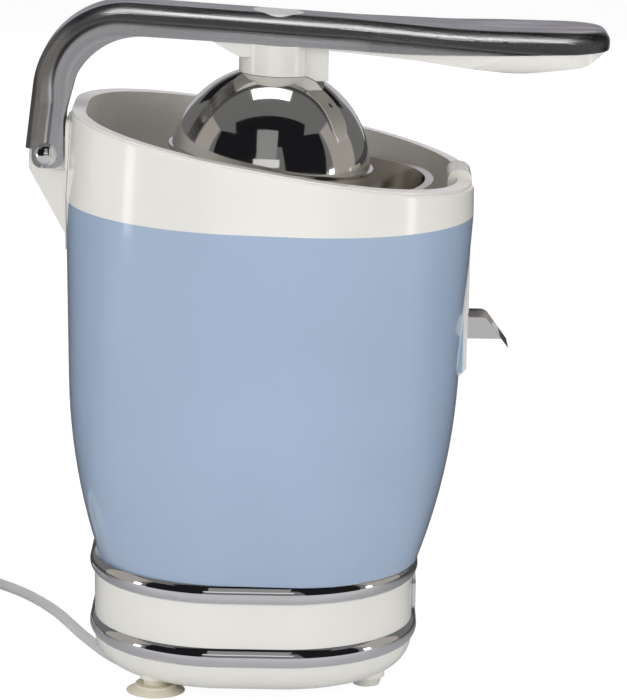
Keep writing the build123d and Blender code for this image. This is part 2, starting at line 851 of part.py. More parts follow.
def make_handle_liner():
    slope = (lever_inner_z - lever_under_z) / (lever_under_x - lever_inner_x)
    start_z = lever_inner_z - slope * (liner_start_x - lever_inner_x)
    corners = [(liner_start_x, start_z), (liner_waist_x, lever_under_z - liner_thick),
               (liner_bulge_x, liner_bulge_z), (liner_chin_x, liner_chin_z), (liner_nose_x, lever_tip_low_z)]
    low = FilletPolyline(*corners, radius=[liner_waist_r, liner_bulge_r, liner_chin_r])
    top = Polyline(corners[-1], (liner_nose_x, lever_corner_z), (liner_start_x, lever_corner_z), corners[0])
    bar = extrude(Plane.XZ * make_face(low + top), paddle_half, both=True)
    plan = Pos(0, 0, pivot_z) * extrude(lever_plan(liner_inset), lever_corner_z)
    belly_height = 2 * (lever_corner_z - liner_bulge_z)
    belly = RectangleRounded(2 * (paddle_half - liner_inset), belly_height, liner_round_r)
    hull = extrude(Plane.YZ * Pos(0, lever_corner_z) * belly, half_space, both=True)
    part = ((bar & plan & hull) - lever_blank()).solids().sort_by(Axis.Z)[0]
    part -= rod(boss_r + seat_gap, boss_low_z, lever_corner_z, boss_x)
    part -= block(ramp_x - overrun, tab_x + tab_length + seat_gap, paddle_half, boss_low_z, lever_corner_z)
    for x in liner_screw_places():
        part -= rod(screw_shank_r + seat_gap, liner_bulge_z - overrun, lever_corner_z, x)
        part -= rod(screw_head_r + seat_gap, liner_bulge_z - overrun, liner_head_z(), x)
    return part


def liner_head_z():
    """Height of the seat of the liner screws' heads."""
    return lever_under_z - liner_thick / 2


def make_liner_screws():
    length = liner_screw_length
    return [Pos(x, 0, liner_head_z()) * screw(length) for x in liner_screw_places()]


def make_pivot_pin():
    part = cross_rod(pin_r, lever_half, pivot_x, pivot_z)
    bore = cross_rod(pin_thread_r + run_gap, pin_thread_length, pivot_x, pivot_z)
    side = lever_half
    return part - Pos(0, side, 0) * bore - Pos(0, -side, 0) * bore


def make_pivot_screws():
    dome_sphere_r = (pin_head_r ** 2 + pin_head_height ** 2) / (2 * pin_head_height)
    cap = Pos(0, 0, pin_head_height - dome_sphere_r) * Sphere(dome_sphere_r)
    head = cap & Cylinder(pin_head_r * 2, pin_head_height, align=upward)
    thread = Rot(180, 0, 0) * Cylinder(pin_thread_r, pin_thread_length - seat_gap, align=upward)
    one = head + thread
    near = Pos(pivot_x, -lever_half, pivot_z) * Rot(90, 0, 0) * one
    far = Pos(pivot_x, lever_half, pivot_z) * Rot(-90, 0, 0) * one
    return [near, far]


def dome_place():
    """Location of the dome's rim, canted forward."""
    return Pos(dome_rim_x, 0, dome_rim_z) * Rot(0, dome_cant, 0)


def dome_ball(radius):
    """Ball of which the dome is a cap."""
    return dome_place() * Pos(0, 0, dome_height - dome_r) * Sphere(radius)


def make_press_dome():
    shell = dome_ball(dome_r) - dome_ball(dome_r - dome_thick)
    rim = dome_place()
    shell -= rim * Rot(180, 0, 0) * Box(half_space, half_space, half_space, align=upward)
    inner = math.sqrt((dome_r - dome_thick) ** 2 - (dome_r - dome_height) ** 2)
    outer = math.sqrt(dome_r ** 2 - (dome_r - dome_height) ** 2)
    lip = rim * (Cylinder(outer + dome_lip, dome_lip_height, align=upward)
                 - Cylinder(inner, 2 * dome_lip_height))
    shell += lip - dome_ball(dome_r - dome_thick)
    return shell - rim * Cylinder(dome_screw_r + seat_gap, half_space, align=upward)


def make_dome_carrier():
    slope = (lever_inner_z - lever_under_z) / (lever_under_x - lever_inner_x)
    start_z = lever_inner_z - slope * (ramp_x - lever_inner_x)
    boss = rod(boss_r, boss_low_z, lever_corner_z, boss_x)
    boss -= side_shape([(ramp_x, start_z), (lever_under_x, lever_under_z), (lever_under_x, half_space),
                        (ramp_x, half_space)], boss_r + overrun)
    tab = block(boss_x, tab_x + tab_length, tab_half, tab_low_z, lever_corner_z)
    ramp = side_shape([(ramp_x, start_z), (boss_x - boss_r, ramp_low_z), (boss_x, ramp_low_z),
                       (boss_x, lever_corner_z), (ramp_x, lever_corner_z)], lever_half - liner_inset)
    part = (boss + tab + ramp) - lever_blank() - dome_ball(dome_r + seat_gap)
    part &= block(-half_space, half_space, boss_r, tab_low_z, lever_under_z + overrun * 2)
    part = part.solids().sort_by(Axis.Z)[0]
    screw_room = Cylinder(dome_screw_r + seat_gap, dome_height + dome_screw_length, align=upward)
    return part - dome_place() * screw_room


def make_dome_screw():
    seat = dome_place() * Pos(0, 0, dome_height - dome_thick - screw_head_height / 2)
    return seat * screw(dome_screw_length, dome_screw_r, dome_screw_head_r, screw_head_height)


def make_release_button():
    plug = Pos(0, 0, -button_height) * Cylinder(button_r, button_height + overrun, align=upward)
    return (button_place() * plug) & lever_blank()


def make_release_spring():
    low = seat_gap - button_well_depth
    high = -button_height - seat_gap
    coil = spring(button_spring_r, spring_wire_r, button_spring_turns, low, high, 0, 0)
    return button_place() * coil


def make_juice_collector():
    top = half_space / 2
    floor_low = bowl_floor_z - bowl_wall
    ledge_low = bowl_ledge_z - bowl_wall
    low_r = bowl_low_r + bowl_wall
    wide_r = bowl_r + bowl_wall
    outer = rod(low_r, floor_low, top) + squared_bar(wide_r, ledge_low, top)
    inner = rod(bowl_low_r, bowl_floor_z, top) + squared_bar(bowl_r, bowl_ledge_z, top)
    flange = above(collar_plane) & Pos(axis_x, 0, 0) * squared_bar(bowl_rim_r, bowl_ledge_z, top)
    part = Pos(axis_x, 0, 0) * outer + flange
    duct = block(duct_back_x, duct_x, duct_half, duct_low_z, duct_top_z)
    part = (part + duct) - Pos(axis_x, 0, 0) * inner
    way_half = duct_half - duct_wall
    way_top = duct_top_z - duct_wall
    part -= block(axis_x + bowl_low_r / 2, duct_x + overrun, way_half, bowl_floor_z, way_top)
    part -= block(duct_back_x + duct_wall, duct_x + overrun, way_half, duct_low_z + duct_wall, way_top)
    part -= above(rim_plane)
    part += tube(chimney_r, chimney_bore_r, floor_low, chimney_top_z, axis_x)
    part -= rod(chimney_bore_r, floor_low - overrun, chimney_top_z, axis_x)
    tongue_low = duct_top_z - duct_wall
    part += block(tongue_x - tongue_thick, tongue_x, duct_half, tongue_low, hump_top_z - hump_corner_r)
    hump_low = bowl_ledge_z + (hump_top_z - bowl_ledge_z) / 2
    hump = Pos(tongue_x - hump_length / 2, 0, (hump_low + hump_top_z) / 2) * Rot(90, 0, 0) * extrude(
        RectangleRounded(hump_length, hump_top_z - hump_low, hump_corner_r), duct_half, both=True)
    part += hump
    part -= cross_rod(spout_pin_r + seat_gap, duct_half + overrun, spout_pin_x, spout_pin_z)
    return part


def make_spout():
    side = [(spout_root_x, spout_low_z), (spout_root_x, spout_top_z), (spout_top_x, spout_top_z),
            (spout_tip_x, spout_tip_z), (spout_bend_x, spout_low_z)]
    body = side_shape(side, spout_half)
    crest = body.edges().filter_by(Axis.Y).sort_by(Axis.Z)[-2:].sort_by(Axis.X)[-1]
    body = fillet(crest, spout_corner_r)
    ear = cross_rod(spout_ear_r, spout_half, spout_pin_x, spout_pin_z)
    ear += block(spout_pin_x, spout_root_x + spout_wall, spout_half, spout_pin_z - spout_ear_r,
                 spout_pin_z + spout_ear_r)
    drop = math.hypot(spout_tip_x - spout_bend_x, spout_low_z - spout_tip_z)
    floor_rise = spout_wall * (1 + (spout_low_z - spout_tip_z) / drop)
    channel = side_shape([(spout_pin_x - 2 * spout_ear_r, spout_low_z + spout_wall),
                          (spout_bend_x, spout_low_z + spout_wall),
                          (spout_tip_x, spout_tip_z + floor_rise / 2), (spout_tip_x, half_space),
                          (spout_pin_x - 2 * spout_ear_r, half_space)], spout_half - spout_wall)
    part = body + ear - channel
    return part - cross_rod(spout_pin_r + run_gap, spout_half + overrun, spout_pin_x, spout_pin_z)


def make_spout_pin():
    return cross_rod(spout_pin_r, duct_half, spout_pin_x, spout_pin_z)


def make_strainer():
    floor_top = bowl_ledge_z + sieve_thick
    rim_low = sieve_rim_z - sieve_thick
    bowl = turned_points((sieve_hole_r, bowl_ledge_z), (sieve_floor_r, bowl_ledge_z),
                         (sieve_wall_top_r, rim_low), (sieve_rim_r, rim_low), (sieve_rim_r, sieve_rim_z),
                         (sieve_wall_top_r - sieve_thick, sieve_rim_z),
                         (sieve_floor_r - sieve_thick, floor_top), (sieve_hole_r, floor_top))
    middle = (slot_inner_r + slot_outer_r) / 2
    slot = Pos(middle, 0, bowl_ledge_z) * Box(slot_outer_r - slot_inner_r, slot_width, 2 * overrun)
    for i in range(slot_count):
        bowl -= Rot(0, 0, 360 * i / slot_count) * slot
    return Pos(axis_x, 0, 0) * bowl


def cone_form(drop):
    """Pointed arch turned about Z, shrunk by a drop."""
    low = (cone_r - drop, cone_base_z)
    high = (cone_tip_r, cone_top_z - drop)
    flank = ThreePointArc(low, (cone_mid_r - drop, cone_mid_z), high)
    return turned(flank, Polyline(high, (0, cone_top_z - drop), (0, cone_base_z), low))


def make_reamer_cone():
    core = cone_form(cone_core_drop)
    full = cone_form(0)
    for i in range(cone_rib_count):
        rib = Box(cone_r, cone_rib_width, cone_top_z - cone_base_z, align=upward)
        rib = Pos(cone_r / 2, 0, cone_base_z) * rib
        core += full & (Rot(0, 0, 360 * i / cone_rib_count) * rib)
    core = Pos(axis_x, 0, 0) * core
    return core - spindle_form(seat_gap, cone_base_z - overrun, spindle_top_z + seat_gap)


def spindle_form(gap, low, high):
    """Round bar with two flats."""
    bar = rod(spindle_r + gap, low, high, axis_x)
    return bar & block(axis_x - spindle_flat - gap, axis_x + spindle_flat + gap, spindle_r * 2, low, high)


def make_drive_spindle():
    foot = rod(spindle_foot_r, spindle_low_z, high_gear_z - gear_axial_gap, axis_x)
    return spindle_form(0, spindle_low_z, spindle_top_z) + foot


def make_output_gear():
    part = gear(output_teeth, drive_module, high_gear_z, high_gear_z + gear_width, 0, axis_x, 0)
    part += rod(output_hub_r, high_gear_z, output_hub_top_z - gear_axial_gap, axis_x)
    return part - spindle_form(run_gap, high_gear_z - overrun, output_hub_top_z + overrun)


def make_intermediate_gear():
    part = gear(intermediate_teeth, motor_module, low_gear_z, low_gear_z + gear_width, 0, inter_x, 0)
    pinion_top = high_gear_z + gear_width + gear_axial_gap
    half_step = 180 / drive_pinion_teeth
    part += gear(drive_pinion_teeth, drive_module, low_gear_z + gear_width, pinion_top, half_step, inter_x, 0)
    return part - rod(axle_r + run_gap, low_gear_z - overrun, pinion_top + overrun, inter_x)


def make_intermediate_axle():
    low = gear_plate_z
    collar_low = rod(axle_r + bush_wall, gear_top_z, low_gear_z - gear_axial_gap, inter_x)
    return rod(axle_r, low, cover_top_z - gear_cover_wall, inter_x) + collar_low


def make_motor_pinion():
    step = 360 / motor_pinion_teeth
    facing = -motor_angle
    turn_wheel = facing * intermediate_teeth / motor_pinion_teeth
    turn = facing + 180 + step / 2 + turn_wheel
    part = gear(motor_pinion_teeth, motor_module, low_gear_z, low_gear_z + gear_width, turn, motor_x, motor_y)
    high = low_gear_z + gear_width + overrun
    return part - rod(axle_r + run_gap, low_gear_z - overrun, high, motor_x, motor_y)


def make_rotor():
    low = stator_low_z - bracket_gap - bracket_thick - bearing_length / 2
    core = rod(rotor_r, stator_low_z + rotor_inset, stator_top_z - rotor_inset, motor_x, motor_y)
    return core + rod(axle_r, low, low_gear_z + gear_width, motor_x, motor_y)


def make_stator_core():
    core = Pos(motor_x, motor_y, stator_low_z) * Box(stator_side, stator_side, stator_height, align=upward)
    core = chamfer(core.edges().filter_by(Axis.Z), stator_side / 10)
    return core - rod(stator_bore_r, stator_low_z - overrun, stator_top_z + overrun, motor_x, motor_y)


def make_stator_windings():
    rings = []
    for low in (stator_low_z - winding_height, stator_top_z):
        rings.append(tube(winding_r, stator_bore_r, low, low + winding_height, motor_x, motor_y))
    return rings


def bearing_bracket(plate_low, foot_low, foot_high):
    """Strap across the motor with a bearing seat in its middle and a foot at each end."""
    part = Pos(motor_x, motor_y, plate_low) * Box(stator_side, bracket_width, bracket_thick, align=upward)
    for side in (-1, 1):
        x = motor_x + side * (stator_side - bracket_foot) / 2
        height = foot_high - foot_low
        part += Pos(x, motor_y, foot_low) * Box(bracket_foot, bracket_width, height, align=upward)
    return part - rod(bearing_r + seat_gap, plate_low - overrun, plate_low + overrun, motor_x, motor_y)


def make_lower_bearing_bracket():
    return bearing_bracket(stator_low_z - bracket_gap - bracket_thick, chassis_top_z, stator_low_z)


def make_upper_bearing_bracket():
    low_z = stator_top_z + bracket_gap
    return bearing_bracket(low_z, stator_top_z, low_z + bracket_thick)


def make_motor_bearings():
    lower = stator_low_z - bracket_gap - bracket_thick / 2 - bearing_length / 2
    upper = stator_top_z + bracket_gap + bracket_thick / 2 - bearing_length / 2
    bore = axle_r + run_gap
    return [tube(bearing_r, bore, low, low + bearing_length, motor_x, motor_y) for low in (lower, upper)]


def make_cooling_fan():
    high = gear_plate_z - gear_axial_gap * 2
    low = high - fan_height
    part = rod(fan_hub_r, low, high, motor_x, motor_y)
    for i in range(fan_blade_count):
        blade = Pos(fan_r / 2, 0, 0) * Rot(fan_blade_tilt, 0, 0) * Box(fan_r, fan_height, fan_blade_thick)
        blade &= Box(2 * fan_r, 2 * fan_r, fan_height)
        part += Pos(motor_x, motor_y, (low + high) / 2) * Rot(0, 0, 360 * i / fan_blade_count) * blade
    return part - rod(axle_r + run_gap, low - overrun, high + overrun, motor_x, motor_y)


def make_chassis_plate():
    part = rod(chassis_r, chassis_z, chassis_top_z)
    for x, y in post_places():
        part += rod(post_r, chassis_z, gear_plate_z, x, y)
        part -= rod(screw_shank_r + seat_gap, gear_plate_z - screw_length, gear_plate_z + overrun, x, y)
    for x, y in chassis_places():
        part -= rod(screw_shank_r + seat_gap, chassis_z - overrun, chassis_top_z + overrun, x, y)
    return part - rod(bearing_r + bush_wall, chassis_z - overrun, chassis_top_z + overrun, motor_x, motor_y)


def make_chassis_screws():
    length = chassis_thick + body_flange + base_flange
    return [Pos(x, y, chassis_top_z) * Rot(180, 0, 0) * screw(length) for x, y in chassis_places()]


def make_gear_plate():
    part = rod(gear_room_r + gear_cover_wall, gear_plate_z, gear_top_z, gear_room_x)
    for x, y in post_places():
        part -= rod(screw_shank_r + seat_gap, gear_plate_z - overrun, gear_top_z + overrun, x, y)
    part -= rod(bearing_r + bush_wall, gear_plate_z - overrun, gear_top_z + overrun, motor_x, motor_y)
    return part - rod(axle_r + seat_gap, gear_plate_z - overrun, gear_top_z + overrun, inter_x)


def make_gear_plate_screws():
    return [Pos(x, y, gear_top_z) * Rot(180, 0, 0) * screw() for x, y in post_places()]


def make_gear_cover():
    outer = rod(gear_room_r + gear_cover_wall, gear_top_z, cover_top_z, gear_room_x)
    part = outer - rod(gear_room_r, gear_top_z - overrun, cover_top_z - gear_cover_wall, gear_room_x)
    part -= rod(output_hub_r + bush_wall, gear_top_z, cover_top_z + overrun, axis_x)
    socket = tube(axle_r + bush_wall, axle_r + seat_gap, cover_top_z - gear_cover_wall - bush_wall,
                  cover_top_z - gear_cover_wall, inter_x)
    return part + socket


def make_spindle_bush():
    low = cover_top_z - gear_cover_wall
    return tube(output_hub_r + bush_wall - seat_gap, output_hub_r + run_gap, low, cover_top_z, axis_x)


def make_gear_bush():
    return tube(gear_bush_r, gear_bush_bore_r, gear_top_z, high_gear_z - gear_axial_gap, axis_x)


def make_motor_deck():
    body_r = body_mid_r + (body_top_r - body_mid_r) * (deck_z - body_mid_z) / (body_top_z - body_mid_z)
    disc_r = body_r - body_wall - deck_edge_gap
    part = rod(disc_r, deck_z, deck_z + deck_thick, deck_x)
    part += rod(deck_tube_r, cover_top_z, deck_z, axis_x)
    part -= rod(output_hub_r + bush_wall + move_gap, cover_top_z - overrun, deck_z, axis_x)
    part -= block(frame_back_x - seat_gap, half_space, frame_half + seat_gap, deck_z - overrun, half_space)
    return part - rod(seal_r + seat_gap, deck_z - overrun, deck_z + deck_thick + overrun, axis_x)


def make_shaft_seal():
    return tube(seal_r, spindle_r + run_gap, deck_z + seat_gap, deck_z + seal_height, axis_x)


def make_microswitch():
    body = Pos(axis_x, 0, gear_top_z) * Box(switch_length, switch_width, switch_height, align=upward)
    hole = rod(plunger_r + run_gap, gear_top_z + switch_height - plunger_sink - press_travel - move_gap,
               gear_top_z + switch_height + overrun, axis_x)
    return body - hole


def make_switch_plunger():
    return rod(plunger_r, gear_top_z + switch_height - plunger_sink, plunger_top_z, axis_x)


def make_return_spring():
    low = gear_top_z + seat_gap
    return spring(spring_r, spring_wire_r, spring_turns, low, spindle_low_z - seat_gap, axis_x, 0)


def gland_run():
    """Start and direction of the strain relief under the base, in line with the cord's first run."""
    first = Vector(*cord_route[0])
    run = (Vector(*cord_route[1]) - first).normalized() * gland_length
    return first - run, run


def gland_block(gap, rise):
    """Root of the strain relief, which passes up through the base plate."""
    start, run = gland_run()
    low = start.Z - gland_root_r
    frame = Plane((start.X, start.Y, low), x_dir=(run.X, run.Y, 0), z_dir=(0, 0, 1))
    return frame * Box(gland_block_length + 2 * gap, gland_block_width + 2 * gap, plate_top_z - low + rise,
                       align=upward)


def make_cord_gland():
    start, run = gland_run()
    sleeve = Plane(start, z_dir=run) * Cone(gland_root_r, gland_tip_r, run.length, align=upward)
    return sleeve + gland_block(0, 0)


def cord_notch():
    """Way for the cord under the base's edge."""
    notch = None
    for here, there in zip(cord_route[:cord_notch_count], cord_route[1:cord_notch_count + 1]):
        run = Vector(*there) - Vector(*here)
        bar = Plane(here, z_dir=run) * Cylinder(cord_r + cord_notch_gap, run.length, align=upward)
        ball = Pos(*there) * Sphere(cord_r + cord_notch_gap)
        notch = bar + ball if notch is None else notch + bar + ball
    return notch


def cord_radii(points):
    """Largest arcs that the runs beside each corner of the route leave room for."""
    radii = []
    for before, here, after in zip(points, points[1:], points[2:]):
        run_in = here - before
        run_out = after - here
        half_turn = math.radians(run_in.get_angle(run_out)) / 2
        radii.append(cord_share * min(run_in.length, run_out.length) / math.tan(half_turn))
    return radii


def make_power_cord():
    points = [Vector(*p) for p in cord_route] + [coil_entry()]
    radii = cord_radii(points)
    path = FilletPolyline(*points, radius=radii)
    part = sweep(Plane(points[0], z_dir=points[1] - points[0]) * Circle(cord_r), path)
    print("cord radii", [round(r, 1) for r in radii])
    share = part.volume / (math.pi * cord_r ** 2 * path.length)
    print("cord length", round(path.length, 1), "volume share", share)
    return part


def coil_frame():
    """Heading of the cord at the coil, the way across it, and the coil's middle on the table."""
    angle = math.radians(coil_heading)
    along = Vector(math.cos(angle), math.sin(angle), 0)
    across = Vector(math.sin(angle), -math.cos(angle), 0)
    return along, across


def coil_low_z():
    """Height of the lower layer of turns, over the tie."""
    return cord_r + tie_gap + tie_thick


def coil_entry():
    """Place where the cord meets the coil: straight on from the last point of its route."""
    along, across = coil_frame()
    last = Vector(*cord_route[-1])
    return Vector(last.X, last.Y, coil_low_z()) + along * (4 * cord_r)


def coil_middle():
    along, across = coil_frame()
    return coil_entry() + along * (2 * cord_r) - across * coil_r


def coil_points():
    """Ends of the half turns: in along the lower layer, up, and out along the upper layer."""
    along, across = coil_frame()
    middle = coil_middle()
    inward = [coil_r - coil_pitch / 2 * k for k in range(coil_half_turn_count + 1)]
    outward = [inward[-1] - coil_pitch / 2] + inward[-2::-1]
    radii = inward + outward
    rise = [0] * len(inward) + [coil_layer] * len(inward)
    points = []
    for k, (radius, height) in enumerate(zip(radii, rise)):
        side = 1 if k % 2 == 0 else -1
        points.append(middle + across * (side * radius) + Vector(0, 0, height))
    return points


def coil_edges():
    """Straight lead in, two tangent arcs for each half turn, straight lead out."""
    along, across = coil_frame()
    points = coil_points()
    edges = [Line(coil_entry(), points[0])]
    heading = along
    for here, there in zip(points, points[1:]):
        reach = (there - here).length / 2
        turn = (here + there) * 0.5 + heading * reach
        edges.append(TangentArc(here, turn, tangent=heading))
        edges.append(TangentArc(turn, there, tangent=edges[-1] % 1))
        heading = heading * -1
    edges.append(Line(points[-1], points[-1] + heading * plug_lead))
    return edges, heading


def coil_gap(edges):
    """Least gap between stretches of the coil that aren't neighbours, on points along it."""
    places = []
    travelled = 0
    for edge in edges:
        steps = max(2, coil_sample_count // 2)
        for i in range(steps):
            spot = edge @ (i / steps)
            places.append((travelled + edge.length * i / steps, spot.X, spot.Y, spot.Z))
        travelled += edge.length
    least = half_space
    for i, (s0, x0, y0, z0) in enumerate(places):
        for s1, x1, y1, z1 in places[i + 1:]:
            if s1 - s0 > coil_r:
                least = min(least, math.dist((x0, y0, z0), (x1, y1, z1)))
    return least - 2 * cord_r


def make_cord_coil():
    edges, heading = coil_edges()
    path = Wire(edges)
    part = sweep(Plane(path @ 0, z_dir=path % 0) * Circle(cord_r), path)
    gap = coil_gap(edges)
    share = part.volume / (math.pi * cord_r ** 2 * path.length)
    print("coil length", round(path.length, 1), "volume share", share)
    print("coil least gap", round(gap, 2), "over", coil_least_gap, gap > coil_least_gap)
    return part


def make_coil_tie():
    """Flat band round the turns, on the side where the coil doesn't climb."""
    along, across = coil_frame()
    middle = coil_middle()
    reach = cord_r + tie_gap
    inner = coil_r - coil_pitch * coil_half_turn_count / 2 - reach - tie_gap
    outer = coil_r - coil_pitch * 3 / 4 + reach
    height = coil_layer + 2 * reach
    start = Vector(middle.X, middle.Y, tie_thick) - along * ((inner + outer) / 2)
    frame = Plane(start, x_dir=along, z_dir=(0, 0, 1))
    room = Box(outer - inner, 2 * tie_width, height, align=upward)
    width = outer - inner + 2 * tie_thick
    band = Pos(0, 0, -tie_thick) * Box(width, tie_width, height + 2 * tie_thick, align=upward)
    return frame * (band - room)


def make_plug():
    edges, heading = coil_edges()
    start = edges[-1] @ 1
    thick = 2 * start.Z
    plane = Plane(start, x_dir=heading.cross(Vector(0, 0, 1)), z_dir=heading)
    relief = Cone(cord_r + seat_gap, plug_relief_r, plug_relief, align=upward)
    body = extrude(RectangleRounded(plug_width, thick, plug_corner_r), plug_length)
    part = relief + Pos(0, 0, plug_relief) * body
    for x in (-plug_pin_pitch / 2, plug_pin_pitch / 2):
        pin = Cylinder(plug_pin_r, plug_pin_length, align=upward)
        part += Pos(x, 0, plug_relief + plug_length) * pin
    return plane * part


def write(node, shape):
    """One file for each node, moved to the part's own origin."""
    solids = shape if isinstance(shape, (list, ShapeList)) else [shape]
    placed = [Pos(-centre_x, 0, 0) * solid for solid in solids]
    whole = placed[0] if len(placed) == 1 else Compound(children=placed)
    export_step(whole, os.path.join("parts", node + ".step"))


def main():
    os.makedirs("parts", exist_ok=True)
    write("base_housing", make_base_housing())
    write("base_plate", make_base_plate())
    write("base_screws", make_base_screws())
    write("rear_suction_feet", make_suction_feet())
    write("front_feet", make_front_feet())
    write("lower_trim_ring", make_trim_ring(lower_ring_z))
    write("upper_trim_ring", make_trim_ring(upper_ring_z))
    write("badge_plate", make_badge_plate())
    write("body_shell", make_body_shell())
    write("collar", make_collar())
    write("front_frame", make_front_frame())
    write("hinge_bracket", make_hinge_bracket())
    write("bracket_screws", make_bracket_screws())
    write("hinge_bushes", make_hinge_bushes())
    write("lever_arm", make_lever_arm())
    write("handle_liner", make_handle_liner())
    write("liner_screws", make_liner_screws())
    write("pivot_pin", make_pivot_pin())
    write("pivot_screws", make_pivot_screws())
    write("dome_carrier", make_dome_carrier())
    write("press_dome", make_press_dome())
    write("dome_screw", make_dome_screw())
    write("release_button", make_release_button())
    write("release_spring", make_release_spring())
    write("juice_collector", make_juice_collector())
    write("spout", make_spout())
    write("spout_pin", make_spout_pin())
    write("strainer", make_strainer())
    write("reamer_cone", make_reamer_cone())
    write("drive_spindle", make_drive_spindle())
    write("output_gear", make_output_gear())
    write("intermediate_gear", make_intermediate_gear())
    write("intermediate_axle", make_intermediate_axle())
    write("motor_pinion", make_motor_pinion())
    write("rotor", make_rotor())
    write("stator_core", make_stator_core())
    write("stator_windings", make_stator_windings())
    write("lower_bearing_bracket", make_lower_bearing_bracket())
    write("upper_bearing_bracket", make_upper_bearing_bracket())
    write("motor_bearings", make_motor_bearings())
    write("cooling_fan", make_cooling_fan())
    write("chassis_plate", make_chassis_plate())
    write("chassis_screws", make_chassis_screws())
    write("gear_plate", make_gear_plate())
    write("gear_plate_screws", make_gear_plate_screws())
    write("gear_cover", make_gear_cover())
    write("spindle_bush", make_spindle_bush())
    write("gear_bush", make_gear_bush())
    write("motor_deck", make_motor_deck())
    write("shaft_seal", make_shaft_seal())
    write("microswitch", make_microswitch())
    write("switch_plunger", make_switch_plunger())
    write("return_spring", make_return_spring())
    write("cord_gland", make_cord_gland())
    write("power_cord", make_power_cord())
    write("cord_coil", make_cord_coil())
    write("coil_tie", make_coil_tie())
    write("plug", make_plug())


main()
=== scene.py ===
"""Electric citrus press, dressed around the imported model. Metres, +Z up, +X to the spout."""
import math

import bpy
from mathutils import Matrix, Vector


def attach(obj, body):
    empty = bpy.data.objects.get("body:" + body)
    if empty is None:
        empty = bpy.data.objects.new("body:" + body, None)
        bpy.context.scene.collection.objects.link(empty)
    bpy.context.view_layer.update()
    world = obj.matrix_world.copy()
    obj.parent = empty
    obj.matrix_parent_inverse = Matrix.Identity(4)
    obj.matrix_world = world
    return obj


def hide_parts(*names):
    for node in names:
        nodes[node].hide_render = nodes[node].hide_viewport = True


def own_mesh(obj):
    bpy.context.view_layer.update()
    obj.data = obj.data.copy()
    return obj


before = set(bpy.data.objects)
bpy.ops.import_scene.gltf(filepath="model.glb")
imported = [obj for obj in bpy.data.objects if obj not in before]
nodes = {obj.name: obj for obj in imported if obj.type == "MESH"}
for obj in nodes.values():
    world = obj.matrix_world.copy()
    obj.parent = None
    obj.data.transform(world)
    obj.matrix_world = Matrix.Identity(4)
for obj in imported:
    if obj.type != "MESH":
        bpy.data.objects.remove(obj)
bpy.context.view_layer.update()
mm = 0.001

# Camera
camera_place = Vector((0.00045, -1.790, 0.570))
camera_pitch = 12.89
camera_roll = 1.0
camera_focal_px = 3682.0
photo_height_px = 700.0
sensor = 36.0
view_reach = 60.0

# Cord, in millimetres from the base's axis: the route of its runs, then the coil
axis_shift = -27.55         # from the base's axis to the frame's origin
cord_diameter = 5.4 * mm
cord_route = [
    (-44.0, -34.5, 3.4), (-56.0, -29.5, 2.8), (-66.5, -20.0, 2.8), (-74.5, -7.0, 2.8), (-82.0, 9.0, 2.8),
    (-90.0, 27.0, 2.8), (-97.0, 45.0, 2.8), (-104.5, 63.0, 2.8), (-114.7, 82.0, 2.8), (-127.0, 100.0, 2.8),
    (-139.0, 111.6, 3.2), (-148.5, 120.4, 4.1),
]
coil_heading = 137.0
coil_r = 38.0
coil_pitch = 6.2
coil_layer = 6.0
coil_half_turns = 4
coil_steps = 9
plug_lead = 10.0

# Lever: where its brushed lines turn, its rounded top, and the lines' scale across, over and along the arm
lever_bend = (-0.0952, 0.285)
lever_lean = 0.118          # of the neck, for each metre of its height
lever_fall = 0.056          # of the arm for each metre towards the front
lever_middle = 0.0325       # from the bend's middle to the foot of the rounded top
lever_crown = 140.0         # half the curvature of the rounded top, per metre
fine_lines = (2600, 900, 30)
coarse_lines = (500, 200, 14)

# Surfaces
noise_low, noise_high = 0.3, 0.7     # where most of a noise's values lie
coat_rough = 0.05
acrylic_ior = 1.49

# Studio
card_centre = Vector((0, 0, 0.2))
light_aim = (0, 0, 0.17)
low_aim = (0, 0, 0.06)
floor_size = 14.0
floor_back = 3.0
floor_glow = 1.1            # of the floor as the camera sees it
floor_glow_share = 0.86     # the rest is matt and keeps the shadow
mirror_near = 0.6           # of the floor as bright surfaces mirror it, in front of the part
mirror_far = 0.07           # and behind it
mirror_reach = 0.15
world_level = 0.17


def link(tree, a, b):
    tree.links.new(a, b)


def add(tree, kind, **values):
    """A shader node with its settings and the values of its inputs."""
    node = tree.nodes.new(kind)
    for key, value in values.items():
        if key.startswith("in_"):
            node.inputs[key[3:].replace("_", " ")].default_value = value
        else:
            setattr(node, key, value)
    return node


def calc(tree, operation, *terms):
    """A maths node on sockets and plain numbers."""
    node = add(tree, "ShaderNodeMath", operation=operation)
    for entry, term in zip(node.inputs, terms):
        if isinstance(term, bpy.types.NodeSocket):
            link(tree, term, entry)
        else:
            entry.default_value = term
    return node.outputs[0]


def combine(tree, *parts):
    node = add(tree, "ShaderNodeCombineXYZ")
    for entry, part in zip(node.inputs, parts):
        link(tree, part, entry)
    return node.outputs["Vector"]


def eye_rays(tree, path):
    """1 for what the camera sees, straight or through a see-through piece."""
    return calc(tree, "MAXIMUM", path.outputs["Is Camera Ray"], path.outputs["Is Transmission Ray"])


def start_material(name, colour, rough, metal=0.0):
    """A new material: its tree, its shader and the coordinates of the part's frame."""
    material = bpy.data.materials.new(name)
    material.use_nodes = True
    tree = material.node_tree
    shader = tree.nodes["Principled BSDF"]
    shader.inputs["Base Color"].default_value = (*colour, 1)
    shader.inputs["Roughness"].default_value = rough
    shader.inputs["Metallic"].default_value = metal
    place = tree.nodes.new("ShaderNodeTexCoord").outputs["Object"]
    return material, tree, shader, place


def stretched(tree, place, scale):
    mapping = add(tree, "ShaderNodeMapping")
    mapping.inputs["Scale"].default_value = scale
    link(tree, place, mapping.inputs["Vector"])
    return mapping.outputs["Vector"]


